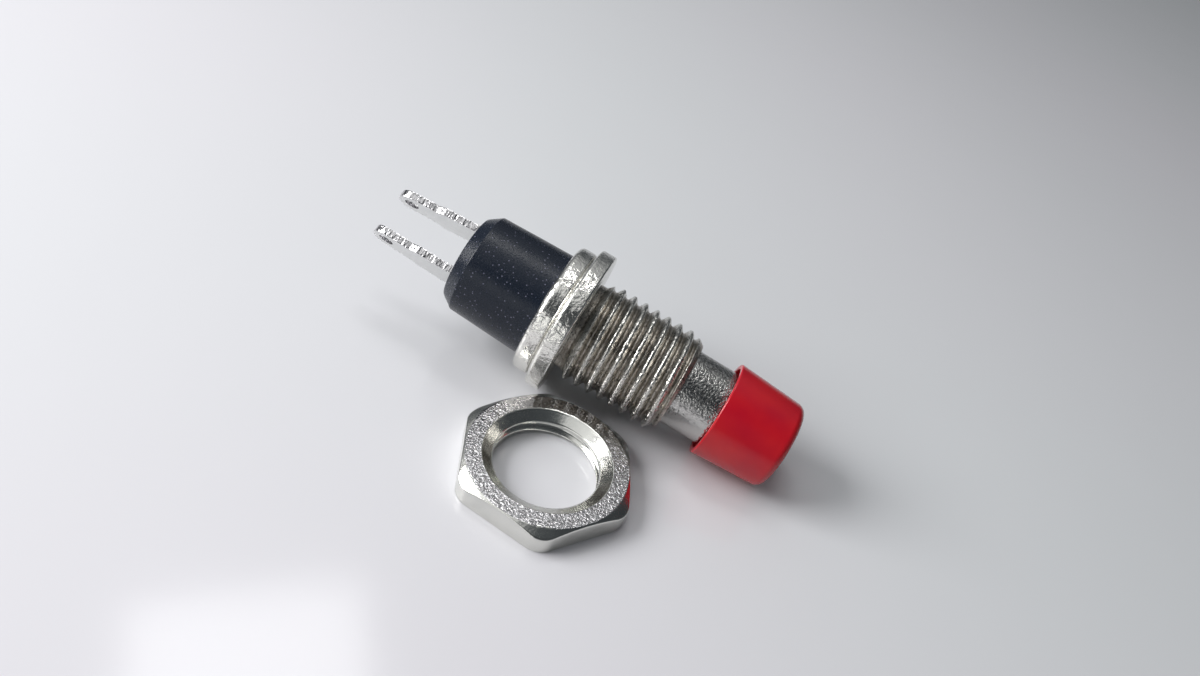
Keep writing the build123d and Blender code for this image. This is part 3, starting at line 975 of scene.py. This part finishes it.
# --- Light --------------------------------------------------------------------------------------
# The room is brightest in one direction, and SKY gives its tone by how near a view is to that.
BRIGHTEST = (-0.36, 0.42, 0.83)
ROOM_STRENGTH = 0.80
SKY = (
    (0.0, (0.13, 0.14, 0.15)),
    (0.30, (0.04, 0.045, 0.05)),
    (0.60, (0.09, 0.10, 0.11)),
    (0.82, (0.36, 0.37, 0.38)),
    (1.0, (0.82, 0.84, 0.85)),
)
world = bpy.data.worlds.new("room")
bpy.context.scene.world = world
world.use_nodes = True
room = world.node_tree
background = room.nodes["Background"]
coordinates = room.nodes.new("ShaderNodeTexCoord")
facing = room.nodes.new("ShaderNodeVectorMath")
facing.operation = "DOT_PRODUCT"
facing.inputs[1].default_value = BRIGHTEST
room.links.new(coordinates.outputs["Generated"], facing.inputs[0])
ramp = room.nodes.new("ShaderNodeValToRGB")
set_stops(ramp.color_ramp, SKY)
room.links.new(facing.outputs["Value"], ramp.inputs["Fac"])
room.links.new(ramp.outputs["Color"], background.inputs["Color"])
background.inputs["Strength"].default_value = ROOM_STRENGTH


def soft_light(name, place, size, power, colour=(1, 1, 1)):
    """Area lamp that shines at the origin, with place and size in metres and power in watts."""
    lamp = bpy.data.lights.new(name, "AREA")
    lamp.shape = "RECTANGLE"
    lamp.size, lamp.size_y = size
    lamp.energy = power
    lamp.color = colour
    light = bpy.data.objects.new(name, lamp)
    light.location = place
    light.rotation_euler = (-Vector(place)).to_track_quat("-Z", "Y").to_euler()
    bpy.context.scene.collection.objects.link(light)


soft_light("panel", (-0.091, 0.117, 0.34), size=(0.09, 0.09), power=0.12)
soft_light("window", (-0.17, -0.06, 0.125), size=(0.12, 0.12), power=0.54, colour=(1.0, 0.995, 1.0))
soft_light("fill", (-0.10, -0.12, 0.32), size=(0.20, 0.30), power=0.12)
soft_light("key", (-0.014, 0.085, 0.34), size=(0.05, 0.05), power=0.07)
soft_light("front", (-0.12, -0.33, 0.10), size=(0.30, 0.15), power=0.18)

# --- Camera -------------------------------------------------------------------------------------
# The lens and the distance and aim from the switch's seat face are in millimetres.
AZIMUTH = radians(7.828)
ELEVATION = radians(40.557)
ROLL = radians(20.41)
DISTANCE = 72.03
AIM_FROM_SEAT = Vector((0.913, 5.466, 0))
FOCAL_LENGTH = 29.89
aim = Vector((seat_centre.x, seat_centre.y, 0)) + AIM_FROM_SEAT * MM
toward = Vector((cos(ELEVATION) * sin(AZIMUTH), -cos(ELEVATION) * cos(AZIMUTH), sin(ELEVATION)))
level = Vector((cos(AZIMUTH), sin(AZIMUTH), 0))
rising = toward.cross(level)
right = level * cos(ROLL) + rising * sin(ROLL)
up = rising * cos(ROLL) - level * sin(ROLL)
lens = bpy.data.cameras.new("camera")
lens.sensor_width = 36
lens.lens = FOCAL_LENGTH
lens.clip_start = 0.005
lens.clip_end = 10
camera = bpy.data.objects.new("camera", lens)
camera.matrix_world = Matrix((right, up, toward)).transposed().to_4x4()
camera.location = aim + toward * DISTANCE * MM
bpy.context.scene.collection.objects.link(camera)
bpy.context.scene.camera = camera
bpy.context.scene.view_settings.view_transform = "Standard"
